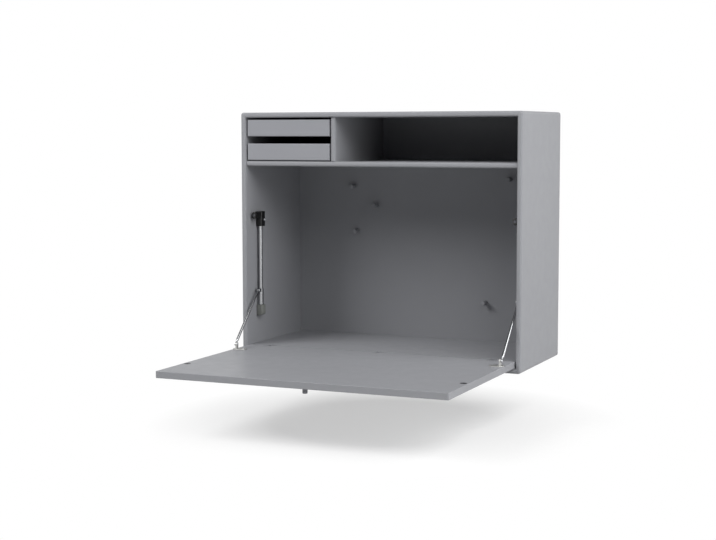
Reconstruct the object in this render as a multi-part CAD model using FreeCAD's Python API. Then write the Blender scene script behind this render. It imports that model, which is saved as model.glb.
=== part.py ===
import FreeCAD, Part
import math
import os

# Fold-down wall desk: a lacquered cabinet with a shelf, two tray drawers and a flap on three
# sunk hinges. A rod stay on each side lets the flap down: its arm joins the flap to a slider
# that runs on an upright rail. All lengths are in millimetres.
#
# The pieces are drawn in the cabinet's frame: X across from the centre, Y back from the front
# plane, Z up from the underside. save_part() moves them to the part's own frame, whose origin is
# on the wall plane in the middle of the line of the two wall screws. The flap is drawn open.

Vector = FreeCAD.Vector
X_AXIS = Vector(1, 0, 0)
Y_AXIS = Vector(0, 1, 0)
Z_AXIS = Vector(0, 0, 1)
SIDES = {"left": -1, "right": 1}

# Cabinet
cabinet_width = 696.0
cabinet_depth = 300.0
panel_thickness = 12.0
corner_radius = 6.0          # outer corners, seen from the front
panel_arris = 4.5            # rounding of the panels' front edges
back_thickness = 6.0
back_rebate = 6.0            # how far the back is let into the panels' rear edges
shelf_height = 456.0         # underside of the shelf
tray_compartment_width = 220.0
shelf_recess = 5.0           # shelf and divider stand back from the front plane

# Wall fixing
wall_screw_drop = 42.0       # below the cabinet's top
wall_screw_spacing = 540.0
wall_screw_hole_radius = 3.0

# Flap
flap_thickness = 15.0
flap_side_gap = 2.0
flap_top_gap = 2.0
flap_bottom_gap = 0.3
flap_floor_gap = 0.4
flap_corner_radius = 3.0
flap_arris = 1.2
knob_radius = 5.5
knob_length = 17.0
knob_neck_radius = 4.2
knob_neck_length = 6.0
knob_setback = 44.5          # from the flap's free edge
knob_arris = 1.0
knob_stud_radius = 2.0
knob_stud_bite = 10.0        # in the flap, and again in the knob

# Sunk hinges
hinge_inset = 56.0           # outer hinges from the side panels
hinge_width = 20.0
hinge_barrel_radius = 5.0
hinge_middle_width = 7.0
hinge_knuckle_gap = 0.2
hinge_pocket_gap = 0.3
hinge_leaf_thickness = 2.5
hinge_floor_leaf_length = 12.6
hinge_flap_leaf_length = 15.5
hinge_web_thickness = 4.0
hinge_pin_radius = 1.5
running_gap = 0.05           # radial, pins and slides
hinge_screw_offset = 6.0     # each side of the hinge's middle
hinge_screw_edge = 4.5       # from the leaf's far end

# Rod stays, one at each side
stay_standoff = 8.0          # rail centre from the side panel
rail_set_back = 58.0
rail_radius = 5.0
bracket_bottom = 310.0
bracket_height = 35.5
bracket_width = 16.0
bracket_length = 20.0
bracket_front = 8.0          # bracket's front face ahead of the rail's centre
bracket_rounding = 3.0
rail_socket_depth = 10.0
bracket_screw_back = 7.5     # bracket screw behind the rail's centre
bracket_screw_drop = 20.0    # bracket screw below the bracket's top
catch_arm_width = 10.0
catch_arm_height = 16.0      # its top is level with the bracket's top
catch_arm_rounding = 4.0
catch_arm_standoff = 10.0    # its centre from the side panel
catch_magnet_radius = 3.5
catch_magnet_length = 8.0
catch_gap = 0.3              # magnet to the closed flap
catch_rim_gap = 0.8          # arm's rim to the closed flap
strike_radius = 7.7
strike_thickness = 2.0
strike_inset = 13.0          # strike disc's centre from the side panel
foot_top = 119.0
foot_height = 26.0
foot_rounding = 8.0          # of its lower inner edge
foot_spigot_radius = 4.0
foot_spigot_length = 8.0
foot_spigot_drop = 17.0      # its axis below the foot's top
slider_stop_gap = 0.3        # slider above the foot, flap open
slider_radius = 6.8
slider_length = 40.0
bush_thickness = 0.8
bush_recess = 1.0            # bush ends inside the slider's ends
slider_pivot_drop = 4.2      # pivot below the slider's top
slider_pivot_ahead = 14.0    # pivot ahead of the rail's centre
eye_radius = 4.2
upper_eye_thickness = 5.0
lower_eye_thickness = 2.6
fork_gap = 5.8
fork_cheek = 1.6
rivet_radius = 1.8
rivet_head_radius = 3.0
rivet_head_height = 1.0
arm_top_radius = 2.7
arm_bottom_radius = 3.4
arm_taper_length = 90.0
arm_eye_neck = 8.0           # eye's centre to the start of the round rod
anchor_distance = 85.0       # anchor pivot from the flap's hinge axis, along the flap
anchor_pivot_height = 12.5   # anchor pivot above the flap's face
anchor_post_thickness = 4.0
anchor_eye_gap = 0.05        # arm's eye to the post
anchor_plate_width = 26.0
anchor_plate_thickness = 2.0
anchor_plate_outer = 5.2     # plate's outer end beyond the stay's plane
anchor_plate_inner = 28.0    # plate's inner end from the stay's plane
anchor_plate_flat = 0.3      # left straight between its rounded corners
anchor_spigot_radius = 4.0
anchor_spigot_length = 8.0
anchor_screw_edge = 7.0      # anchor screw from the plate's inner end

# Tray drawers
tray_height = 39.0
tray_depth = 240.0
tray_side_gap = 3.0
tray_bottom_gap = 2.0
tray_top_gap = 5.0
tray_finger_gap = 17.0
tray_front_thickness = 12.0
tray_wall = 9.0
tray_wall_drop = 4.0         # walls' top below the front's top
tray_base_thickness = 4.0
tray_base_height = 3.0       # base above the walls' lower edge
tray_base_housing = 3.0      # how far the base is let into the walls
tray_arris = 2.0
runner_height = 8.0
runner_length = 220.0
runner_projection = 6.5
runner_gap = 0.3             # above and below the runner in its groove
runner_end_gap = 0.5         # runner's front end to the tray's front: the stop
runner_screw_inset = 35.0

# Hanging pegs on the back: X, and the drop below the shelf, of each
peg_places = ((-183.5, 56.0), (-122.0, 103.5), (-175.0, 168.5), (227.5, 34.5), (166.5, 335.5))
peg_radius = 5.5
peg_length = 22.0
peg_arris = 1.2
peg_spigot_radius = 3.0
peg_spigot_length = 4.5

# Fasteners: radius, head radius and length of each screw, and the dowels
hinge_screw = (1.4, 2.6, 11.0)
runner_screw = (1.5, 2.8, 14.0)
back_screw = (1.25, 2.3, 16.0)
stay_screw = (1.75, 3.2, 9.0)      # length is what bites in the wood
pan_head_height = 2.0
anchor_screw = (1.75, 3.4, 11.0)
dowel_radius = 3.0
dowel_in_panel = 8.0
dowel_in_end = 22.0
dowel_inset = 45.0
dowel_gap = 0.05
back_screw_inset = 60.0
back_screw_count = 3

# Worked-out places
half_width = cabinet_width / 2
inner_half = half_width - panel_thickness
back_face = cabinet_depth - back_thickness
shelf_top = shelf_height + panel_thickness
lower_tray_bottom = shelf_top + tray_bottom_gap
upper_tray_bottom = lower_tray_bottom + tray_height + tray_finger_gap
inner_top = upper_tray_bottom + tray_height + tray_top_gap
cabinet_height = inner_top + panel_thickness        # 582 overall
divider_left = tray_compartment_width - inner_half
divider_centre = divider_left + panel_thickness / 2
wall_screw_height = cabinet_height - wall_screw_drop
hinge_positions = (hinge_inset - inner_half, 0.0, inner_half - hinge_inset)
hinge_y = shelf_recess + flap_thickness / 2         # the closed flap is flush with the shelf
hinge_z = panel_thickness + flap_bottom_gap + flap_thickness / 2
flap_half_width = inner_half - flap_side_gap
flap_bottom = hinge_z - flap_thickness / 2
flap_face = hinge_z + flap_thickness / 2
flap_length = shelf_height - flap_top_gap - hinge_z
flap_edge = hinge_y - flap_length
closed_face = shelf_recess + flap_thickness         # inner face of the closed flap
floor_front = closed_face + flap_floor_gap
floor_thickness = flap_thickness                   # inner floor, level with the open flap
floor_face = panel_thickness + floor_thickness
stay_x = inner_half - stay_standoff
slider_bottom = foot_top + slider_stop_gap
slider_top = slider_bottom + slider_length
slider_pivot_y = rail_set_back - slider_pivot_ahead
slider_pivot_z = slider_top - slider_pivot_drop
anchor_pivot_y = hinge_y - anchor_distance
anchor_pivot_z = flap_face + anchor_pivot_height
anchor_post_x = stay_x - (lower_eye_thickness + anchor_post_thickness) / 2 - anchor_eye_gap
bracket_top = bracket_bottom + bracket_height
catch_height = bracket_top - catch_arm_height / 2
catch_x = inner_half - catch_arm_standoff
strike_x = inner_half - strike_inset
strike_y = hinge_y - (catch_height - hinge_z)
runner_level = tray_height / 2
tray_left = -inner_half + tray_side_gap
tray_right = divider_left - tray_side_gap
TRAYS = {"lower": lower_tray_bottom, "upper": upper_tray_bottom}


def block(x0, x1, y0, y1, z0, z1):
    return Part.makeBox(x1 - x0, y1 - y0, z1 - z0, Vector(x0, y0, z0))


def round_bar(radius, length, start, direction):
    return Part.makeCylinder(radius, length, Vector(*start), direction)


def sheet_bar(outline, x0, x1):
    """A bar along X from an outline of (Y, Z) points."""
    points = [Vector(x0, y, z) for y, z in outline]
    face = Part.Face(Part.makePolygon(points + points[:1]))
    return face.extrude(Vector(x1 - x0, 0, 0))


def fused(pieces):
    return pieces[0].multiFuse(pieces[1:]).removeSplitter()


def edges_where(shape, test):
    return [edge for edge in shape.Edges if test(edge.BoundBox)]


def runs_along(box, axis):
    """True for the box of a straight edge along the axis."""
    size = {"x": box.XLength, "y": box.YLength, "z": box.ZLength}
    along = size.pop(axis)
    return along > max(size.values()) * 100 + 0.01


def lies_at(low, high, place):
    return abs(low - place) < 0.01 and abs(high - place) < 0.01


def at_side(shape, side):
    """A piece drawn for the right-hand side, mirrored for the left one."""
    if side > 0:
        return shape
    return shape.mirror(Vector(0, 0, 0), X_AXIS)


def both_sides(pieces):
    return [at_side(piece, side) for side in SIDES.values() for piece in pieces]


def countersunk_screw(sizes, point, direction, gap=0.0):
    """A screw with its flat head level with the surface at point; with a gap, its hole."""
    radius, head_radius, length = sizes
    head_height = head_radius - radius
    start = Vector(*point)
    head = Part.makeCone(head_radius + gap, radius + gap, head_height, start, direction)
    shank = Part.makeCylinder(radius + gap, length + gap, start, direction)
    return head.fuse(shank)


def pan_screw(sizes, point, direction, seat, gap=0.0):
    """A pan-head screw on a seat of the given thickness; with a gap, the hole for its shank."""
    radius, head_radius, bite = sizes
    start = Vector(*point)
    shank = Part.makeCylinder(radius + gap, seat + bite + gap, start, direction)
    if gap:
        return shank
    head_start = start - direction * pan_head_height
    head = Part.makeCylinder(head_radius, pan_head_height, head_start, direction)
    rim = edges_where(head, lambda box: head_rim(box, head_start, direction))
    head = head.makeFillet(pan_head_height / 2, rim)
    return head.fuse(shank).removeSplitter()


def head_rim(box, head_start, direction):
    """True for the box of the circle round a pan head's free end."""
    across = abs((box.Center - head_start).dot(direction)) < 0.01
    return across and box.DiagonalLength > pan_head_height


# Fasteners and their holes

def dowels(gap=0.0):
    """Shelf and divider dowels, as two lists."""
    shelf_middle = shelf_height + panel_thickness / 2
    radius = dowel_radius + gap
    length = dowel_in_panel + dowel_in_end + gap
    back_row = back_face - dowel_inset
    middle_row = (dowel_inset + back_row) / 2
    shelf_set = []
    for y in (dowel_inset, middle_row, back_row):
        start = (inner_half + dowel_in_panel, y, shelf_middle)
        shelf_set.append(round_bar(radius, length, start, -X_AXIS))
    divider_set = []
    for y in (dowel_inset, back_row):
        top = (divider_centre, y, inner_top + dowel_in_panel)
        divider_set.append(round_bar(radius, length, top, -Z_AXIS))
        bottom = (divider_centre, y, shelf_top - dowel_in_panel)
        divider_set.append(round_bar(radius, length, bottom, Z_AXIS))
    return both_sides(shelf_set), divider_set


def back_screws(gap=0.0):
    """Screws through the back's edges into the bottoms of the rebates."""
    middle = back_rebate / 2
    right = inner_half + middle
    top = inner_top + middle
    bottom = panel_thickness - middle
    screws = []
    for z in spread(back_screw_inset, cabinet_height - back_screw_inset, back_screw_count):
        for x in (-right, right):
            point = (x, cabinet_depth, z)
            screws.append(countersunk_screw(back_screw, point, -Y_AXIS, gap))
    for x in spread(back_screw_inset - half_width, half_width - back_screw_inset, back_screw_count):
        for z in (bottom, top):
            point = (x, cabinet_depth, z)
            screws.append(countersunk_screw(back_screw, point, -Y_AXIS, gap))
    return screws


def spread(first, last, count):
    return [first + (last - first) * i / (count - 1) for i in range(count)]


def runner_screws(gap=0.0):
    first = shelf_recess + tray_front_thickness + runner_screw_inset
    last = first + runner_length - 2 * runner_screw_inset
    screws = []
    for bottom in TRAYS.values():
        level = bottom + runner_level
        for y in (first, last):
            left = (runner_projection - inner_half, y, level)
            screws.append(countersunk_screw(runner_screw, left, -X_AXIS, gap))
            right = (divider_left - runner_projection, y, level)
            screws.append(countersunk_screw(runner_screw, right, X_AXIS, gap))
    return screws


def stay_screws(gap=0.0):
    """Pan-head screws that hold the stays' brackets to the side panels."""
    point = (
        inner_half - bracket_width,
        rail_set_back + bracket_screw_back,
        bracket_top - bracket_screw_drop,
    )
    return both_sides([pan_screw(stay_screw, point, X_AXIS, bracket_width, gap)])


def hinge_screws(face, far_end, gap=0.0):
    """Two screws down through each hinge's leaf."""
    screws = []
    for centre in hinge_positions:
        for side in SIDES.values():
            point = (centre + side * hinge_screw_offset, far_end, face)
            screws.append(countersunk_screw(hinge_screw, point, -Z_AXIS, gap))
    return screws


def floor_leaf_screws(gap=0.0):
    far_end = floor_front + hinge_floor_leaf_length - hinge_screw_edge
    return hinge_screws(floor_face, far_end, gap)


def flap_leaf_screws(gap=0.0):
    far_end = hinge_y - hinge_flap_leaf_length + hinge_screw_edge
    return hinge_screws(flap_face, far_end, gap)


def anchor_screws(gap=0.0):
    x = stay_x - anchor_plate_inner + anchor_screw_edge
    point = (x, anchor_pivot_y, flap_face + anchor_plate_thickness)
    return both_sides([countersunk_screw(anchor_screw, point, -Z_AXIS, gap)])


def peg_spigots(gap=0.0):
    radius = peg_spigot_radius + gap
    spigots = []
    for x, drop in peg_places:
        start = (x, back_face, shelf_height - drop)
        spigots.append(round_bar(radius, peg_spigot_length, start, Y_AXIS))
    return spigots


# Cabinet

def frame_ring():
    """The four panels' outline as one ring, with its rounded corners, arrises and rebate."""
    outer = block(-half_width, half_width, 0, cabinet_depth, 0, cabinet_height)
    outer = outer.makeFillet(corner_radius, edges_where(outer, lambda box: runs_along(box, "y")))
    inner = block(-inner_half, inner_half, 0, cabinet_depth, panel_thickness, inner_top)
    ring = outer.cut(inner)
    ring = ring.makeFillet(panel_arris, edges_where(ring, lambda box: lies_at(box.YMin, box.YMax, 0)))
    return ring.cut(back_board())


def back_board():
    reach = inner_half + back_rebate
    low = panel_thickness - back_rebate
    high = inner_top + back_rebate
    return block(-reach, reach, back_face, cabinet_depth, low, high)


def frame_panels():
    """Left, right, top and bottom panels, mitred at the corners."""
    ring = frame_ring()
    deep = 2 * panel_thickness
    low_left = (-half_width, 0)
    high_left = (-half_width, cabinet_height)
    inner_low_left = (deep - half_width, deep)
    inner_high_left = (deep - half_width, cabinet_height - deep)
    left_wedge = (low_left, inner_low_left, inner_high_left, high_left)
    bottom_wedge = (low_left, inner_low_left, flip(inner_low_left), flip(low_left))
    top_wedge = (high_left, inner_high_left, flip(inner_high_left), flip(high_left))
    shelf_holes, divider_holes = dowels(dowel_gap)
    side_holes = shelf_holes + stay_screws(dowel_gap) + back_screws(dowel_gap)
    side_holes += both_sides([foot_spigot(dowel_gap)])
    left = ring.common(wedge(left_wedge))
    right = left.mirror(Vector(0, 0, 0), X_AXIS)
    return {
        "left_side_panel": drilled(left, side_holes + runner_screws(dowel_gap)),
        "right_side_panel": drilled(right, side_holes),
        "top_panel": drilled(ring.common(wedge(top_wedge)), divider_holes + back_screws(dowel_gap)),
        "bottom_panel": drilled(ring.common(wedge(bottom_wedge)), back_screws(dowel_gap)),
    }


def flip(point):
    return (-point[0], point[1])


def wedge(outline):
    """A prism through the cabinet's whole depth from an outline of (X, Z) points."""
    points = [Vector(x, 0, z) for x, z in outline]
    face = Part.Face(Part.makePolygon(points + points[:1]))
    return face.extrude(Vector(0, cabinet_depth, 0))


def drilled(shape, holes):
    near = [hole for hole in holes if shape.BoundBox.intersect(hole.BoundBox)]
    return shape.cut(Part.makeCompound(near)) if near else shape


def back_panel():
    holes = []
    for side in SIDES.values():
        start = (side * wall_screw_spacing / 2, back_face, wall_screw_height)
        holes.append(round_bar(wall_screw_hole_radius, back_thickness, start, Y_AXIS))
    return drilled(back_board(), holes + peg_spigots(dowel_gap) + back_screws(dowel_gap))


def shelf():
    board = block(-inner_half, inner_half, shelf_recess, back_face, shelf_height, shelf_top)
    front = edges_where(
        board, lambda box: runs_along(box, "x") and lies_at(box.YMin, box.YMax, shelf_recess)
    )
    shelf_holes, divider_holes = dowels(dowel_gap)
    return drilled(board.makeFillet(panel_arris, front), shelf_holes + divider_holes)


def divider():
    right = divider_left + panel_thickness
    board = block(divider_left, right, shelf_recess, back_face, shelf_top, inner_top)
    front = edges_where(
        board, lambda box: runs_along(box, "z") and lies_at(box.YMin, box.YMax, shelf_recess)
    )
    holes = dowels(dowel_gap)[1] + runner_screws(dowel_gap)
    return drilled(board.makeFillet(panel_arris, front), holes)


def inner_floor():
    board = block(-inner_half, inner_half, floor_front, back_face, panel_thickness, floor_face)
    mortises = [hinge_floor_leaf(centre, solid=True) for centre in hinge_positions]
    return drilled(board, mortises + floor_leaf_screws(dowel_gap))


def hanging_pegs():
    pegs = []
    front = back_face - peg_length
    for (x, drop), spigot in zip(peg_places, peg_spigots()):
        stem = round_bar(peg_radius, peg_length, (x, front, shelf_height - drop), Y_AXIS)
        rim = edges_where(stem, lambda box: lies_at(box.YMin, box.YMax, front))
        pegs.append(stem.makeFillet(peg_arris, rim).fuse(spigot))
    return pegs


# Hinges

def hinge_floor_leaf(centre, solid=False):
    """Leaf let into the floor, with a web and the middle knuckle; solid fills its screw holes."""
    left = centre - hinge_width / 2
    right = centre + hinge_width / 2
    back = floor_front + hinge_floor_leaf_length
    web_top = hinge_z + hinge_web_thickness / 2
    web_bottom = hinge_z - hinge_web_thickness / 2
    plate = block(left, right, floor_front, back, floor_face - hinge_leaf_thickness, floor_face)
    upright = block(
        left, right, floor_front, floor_front + hinge_leaf_thickness, web_bottom, floor_face
    )
    if solid:
        return plate.fuse(upright)
    middle_left = centre - hinge_middle_width / 2
    middle_right = centre + hinge_middle_width / 2
    web = block(middle_left, middle_right, hinge_y, floor_front, web_bottom, web_top)
    knuckle = round_bar(
        hinge_barrel_radius, hinge_middle_width, (middle_left, hinge_y, hinge_z), X_AXIS
    )
    leaf = fused([plate, upright, web, knuckle])
    return drilled(leaf, [hinge_pin(centre, running_gap)] + floor_leaf_screws(dowel_gap))


def hinge_flap_leaf(centre):
    """Leaf let into the flap's inner face, with the two outer knuckles."""
    left = centre - hinge_width / 2
    right = centre + hinge_width / 2
    slot_end = hinge_y - hinge_barrel_radius - hinge_pocket_gap
    far_end = hinge_y - hinge_flap_leaf_length
    pieces = [block(left, right, far_end, slot_end, flap_face - hinge_leaf_thickness, flap_face)]
    outer_width = (hinge_width - hinge_middle_width) / 2 - hinge_knuckle_gap
    for start in (left, right - outer_width):
        pieces.append(block(start, start + outer_width, slot_end, hinge_y, hinge_z, flap_face))
        pieces.append(round_bar(hinge_barrel_radius, outer_width, (start, hinge_y, hinge_z), X_AXIS))
    leaf = fused(pieces)
    return drilled(leaf, [hinge_pin(centre, running_gap)] + flap_leaf_screws(dowel_gap))


def hinge_pin(centre, gap=0.0):
    start = (centre - hinge_width / 2, hinge_y, hinge_z)
    return round_bar(hinge_pin_radius + gap, hinge_width, start, X_AXIS)


def hinge_pocket(centre):
    """Room in the flap for one hinge: its leaf, its barrel and the web's swing."""
    left = centre - hinge_width / 2
    right = centre + hinge_width / 2
    far_end = hinge_y - hinge_flap_leaf_length
    slot_end = hinge_y - hinge_barrel_radius - hinge_pocket_gap
    web_bottom = hinge_z - hinge_web_thickness / 2 - hinge_pocket_gap
    leaf_bed = block(left, right, far_end, slot_end, flap_face - hinge_leaf_thickness, flap_face)
    barrel_bed = round_bar(
        hinge_barrel_radius + hinge_pocket_gap, hinge_width, (left, hinge_y, hinge_z), X_AXIS
    )
    swing = block(left, right, slot_end, floor_front, web_bottom, flap_face)
    return fused([leaf_bed, barrel_bed, swing])


# Flap

def flap_panel():
    outline = block(
        -flap_half_width, flap_half_width, flap_edge, hinge_y, flap_bottom, flap_face
    )
    nose = round_bar(
        flap_thickness / 2, 2 * flap_half_width, (-flap_half_width, hinge_y, hinge_z), X_AXIS
    )
    corners = edges_where(
        outline, lambda box: runs_along(box, "z") and lies_at(box.YMin, box.YMax, flap_edge)
    )
    board = outline.makeFillet(flap_corner_radius, corners).fuse(nose).removeSplitter()
    board = board.makeFillet(flap_arris, edges_where(board, is_flap_rim))
    holes = [hinge_pocket(centre) for centre in hinge_positions]
    holes += flap_leaf_screws(dowel_gap)
    holes += both_sides([strike_disc(), anchor_spigot(dowel_gap)])
    holes += anchor_screws(dowel_gap)
    holes.append(knob_stud(dowel_gap))
    return drilled(board, holes)


def is_flap_rim(box):
    """True for the long edges round the flap's faces, not for its short upright ones."""
    on_face = lies_at(box.ZMin, box.ZMax, flap_face) or lies_at(box.ZMin, box.ZMax, flap_bottom)
    on_side = box.XLength < 0.01 and box.YMax > hinge_y - 0.01
    across_nose = box.XLength > flap_half_width and box.YMin > hinge_y - 0.01
    return (on_face or on_side) and not across_nose


def knob_stud(gap=0.0):
    start = (0, flap_edge + knob_setback, flap_bottom + knob_stud_bite)
    return round_bar(knob_stud_radius + gap, 2 * knob_stud_bite, start, -Z_AXIS)


def flap_knob():
    y = flap_edge + knob_setback
    neck = round_bar(knob_neck_radius, knob_neck_length, (0, y, flap_bottom), -Z_AXIS)
    head_top = flap_bottom - knob_neck_length
    head = round_bar(knob_radius, knob_length - knob_neck_length, (0, y, head_top), -Z_AXIS)
    rims = edges_where(head, lambda box: box.ZLength < 0.01)
    head = head.makeFillet(knob_arris, rims)
    return drilled(neck.fuse(head).removeSplitter(), [knob_stud(dowel_gap)])


def strike_disc():
    start = (strike_x, strike_y, flap_face - strike_thickness)
    return round_bar(strike_radius, strike_thickness, start, Z_AXIS)


# Stays, drawn for the right-hand side

def stay_rail():
    start = foot_top - rail_socket_depth
    end = bracket_bottom + rail_socket_depth
    return round_bar(rail_radius, end - start, (stay_x, rail_set_back, start), Z_AXIS)


def rail_holder(bottom, height):
    """The block that holds one end of the rail against the side panel."""
    front = rail_set_back - bracket_front
    body = block(
        inner_half - bracket_width, inner_half, front, front + bracket_length, bottom, bottom + height
    )
    inner_face = inner_half - bracket_width
    rounded = edges_where(body, lambda box: runs_along(box, "z") and is_rounded(box, inner_face, front))
    return body.makeFillet(bracket_rounding, rounded)


def is_rounded(box, inner_face, front):
    """True for an upright edge of a holder's front or inner face."""
    return lies_at(box.XMin, box.XMax, inner_face) or lies_at(box.YMin, box.YMax, front)


def stay_top_bracket():
    """Rail holder with a forward arm that carries the catch magnet."""
    front = rail_set_back - bracket_front
    half = catch_arm_width / 2
    arm = block(
        catch_x - half,
        catch_x + half,
        closed_face + catch_rim_gap,
        front + bracket_rounding,
        bracket_top - catch_arm_height,
        bracket_top,
    )
    arm = arm.makeFillet(catch_arm_rounding, edges_where(arm, lambda box: runs_along(box, "y")))
    body = fused([rail_holder(bracket_bottom, bracket_height), arm])
    return drilled(body, [stay_rail(), catch_magnet()] + stay_screws(dowel_gap))


def catch_magnet():
    start = (catch_x, closed_face + catch_gap, catch_height)
    return round_bar(catch_magnet_radius, catch_magnet_length, start, Y_AXIS)


def foot_spigot(gap=0.0):
    start = (inner_half, rail_set_back, foot_top - foot_spigot_drop)
    return round_bar(foot_spigot_radius + gap, foot_spigot_length + gap, start, X_AXIS)


def stay_foot():
    """Rail holder whose lower inner edge is rounded off, with a spigot let into the side panel."""
    bottom = foot_top - foot_height
    inner_face = inner_half - bracket_width
    cutter = block(
        inner_face, inner_face + foot_rounding, 0, cabinet_depth, bottom, bottom + foot_rounding
    )
    centre = (inner_face + foot_rounding, 0, bottom + foot_rounding)
    cutter = cutter.cut(round_bar(foot_rounding, cabinet_depth, centre, Y_AXIS))
    body = rail_holder(bottom, foot_height).cut(cutter).fuse(foot_spigot())
    return drilled(body, [stay_rail()])


def slider_bore(gap):
    start = (stay_x, rail_set_back, slider_bottom)
    return round_bar(rail_radius + bush_thickness + gap, slider_length, start, Z_AXIS)


def stay_slider():
    """Round slider with a two-cheeked fork ahead of it for the arm's upper eye."""
    start = (stay_x, rail_set_back, slider_bottom)
    pieces = [round_bar(slider_radius, slider_length, start, Z_AXIS)]
    low = slider_pivot_z - eye_radius
    high = slider_pivot_z + eye_radius
    for near in (stay_x - fork_gap / 2 - fork_cheek, stay_x + fork_gap / 2):
        pieces.append(block(near, near + fork_cheek, slider_pivot_y, rail_set_back, low, high))
        pivot = (near, slider_pivot_y, slider_pivot_z)
        pieces.append(round_bar(eye_radius, fork_cheek, pivot, X_AXIS))
    return drilled(fused(pieces), [slider_bore(0.0)] + slider_rivets(dowel_gap))


def slider_bush():
    """Plastic liner between the slider and the rail."""
    start = (stay_x, rail_set_back, slider_bottom + bush_recess)
    length = slider_length - 2 * bush_recess
    liner = round_bar(rail_radius + bush_thickness, length, start, Z_AXIS)
    return liner.cut(round_bar(rail_radius + running_gap, length, start, Z_AXIS))


def slider_rivets(gap=0.0):
    """Headed rivet ends in the fork's cheeks; the arm's eye turns freely between them."""
    rivets = []
    for side in SIDES.values():
        outward = X_AXIS * side
        inner = Vector(stay_x + side * fork_gap / 2, slider_pivot_y, slider_pivot_z)
        shank = Part.makeCylinder(rivet_radius + gap, fork_cheek, inner, outward)
        rivets.append(shank if gap else shank.fuse(rivet_head(inner + outward * fork_cheek, outward)))
    return rivets


def rivet_head(seat, outward):
    """Domed rivet head on its seat."""
    return Part.makeCone(
        rivet_head_radius, rivet_head_radius - rivet_head_height, rivet_head_height, seat, outward
    )


def arm_direction():
    run = Vector(0, slider_pivot_y - anchor_pivot_y, slider_pivot_z - anchor_pivot_z)
    return run.normalize()


def stay_arm():
    """Tapered rod with a flat eye at each end."""
    bottom = Vector(stay_x, anchor_pivot_y, anchor_pivot_z)
    top = Vector(stay_x, slider_pivot_y, slider_pivot_z)
    along = arm_direction()
    rod_start = bottom + along * arm_eye_neck
    rod_length = (top - bottom).Length - 2 * arm_eye_neck
    taper_end = rod_start + along * arm_taper_length
    taper = Part.makeCone(arm_bottom_radius, arm_top_radius, arm_taper_length, rod_start, along)
    rod = Part.makeCylinder(arm_top_radius, rod_length - arm_taper_length, taper_end, along)
    pieces = [taper, rod]
    pieces += flat_eye(bottom, along, lower_eye_thickness)
    pieces += flat_eye(top, -along, upper_eye_thickness)
    bore = rivet_radius + running_gap
    lower_bore = pivot_bar(bottom, bore, lower_eye_thickness)
    upper_bore = pivot_bar(top, bore, upper_eye_thickness)
    return drilled(fused(pieces), [lower_bore, upper_bore])


def flat_eye(pivot, inward, thickness):
    """The flattened end of the rod: a round eye and the neck that joins it to the rod."""
    eye = pivot_bar(pivot, eye_radius, thickness)
    neck_half = arm_top_radius
    neck_length = arm_eye_neck + arm_top_radius
    across = inward.cross(X_AXIS).normalize()
    corner = pivot - X_AXIS * (thickness / 2) - across * neck_half
    points = [
        corner,
        corner + across * (2 * neck_half),
        corner + across * (2 * neck_half) + inward * neck_length,
        corner + inward * neck_length,
    ]
    neck = Part.Face(Part.makePolygon(points + points[:1])).extrude(X_AXIS * thickness)
    return [eye, neck]


def pivot_bar(pivot, radius, length):
    """A round bar along X, centred on the pivot."""
    return Part.makeCylinder(radius, length, pivot - X_AXIS * (length / 2), X_AXIS)


def anchor_spigot(gap=0.0):
    start = (anchor_post_x, anchor_pivot_y, flap_face)
    return round_bar(anchor_spigot_radius + gap, anchor_spigot_length, start, -Z_AXIS)


def stay_anchor():
    """Foot of the arm on the flap: an oblong plate, a flat post beside the arm and a spigot."""
    plate_top = flap_face + anchor_plate_thickness
    half = anchor_plate_width / 2
    plate = block(
        stay_x - anchor_plate_inner,
        stay_x + anchor_plate_outer,
        anchor_pivot_y - half,
        anchor_pivot_y + half,
        flap_face,
        plate_top,
    )
    shorter = min(anchor_plate_width, anchor_plate_inner + anchor_plate_outer)
    rounding = shorter / 2 - anchor_plate_flat
    plate = plate.makeFillet(rounding, edges_where(plate, lambda box: runs_along(box, "z")))
    near = anchor_post_x - anchor_post_thickness / 2
    far = near + anchor_post_thickness
    front = anchor_pivot_y - eye_radius
    back = anchor_pivot_y + eye_radius
    post = block(near, far, front, back, flap_face, anchor_pivot_z)
    pivot = (near, anchor_pivot_y, anchor_pivot_z)
    top = round_bar(eye_radius, anchor_post_thickness, pivot, X_AXIS)
    body = fused([plate, post, top, anchor_spigot()])
    return drilled(body, [anchor_pin(running_gap)] + anchor_screws(dowel_gap))


def anchor_pin(gap=0.0):
    """Rivet through the anchor's post and the arm's lower eye."""
    near = Vector(anchor_post_x - anchor_post_thickness / 2, anchor_pivot_y, anchor_pivot_z)
    length = anchor_post_thickness + anchor_eye_gap + lower_eye_thickness
    shank = Part.makeCylinder(rivet_radius + gap, length, near, X_AXIS)
    if gap:
        return shank
    far = near + X_AXIS * length
    return fused([shank, rivet_head(near, -X_AXIS), rivet_head(far, X_AXIS)])


# Tray drawers

def tray_base(bottom):
    front = shelf_recess + tray_front_thickness - tray_base_housing
    back = shelf_recess + tray_depth - tray_wall + tray_base_housing
    inset = tray_wall - tray_base_housing
    low = bottom + tray_base_height
    return block(
        tray_left + inset, tray_right - inset, front, back, low, low + tray_base_thickness
    )


def tray_front(bottom):
    back = shelf_recess + tray_front_thickness
    board = block(tray_left, tray_right, shelf_recess, back, bottom, bottom + tray_height)
    rim = edges_where(board, lambda box: lies_at(box.YMin, box.YMax, shelf_recess))
    return board.makeFillet(tray_arris, rim).cut(tray_base(bottom))


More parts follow.
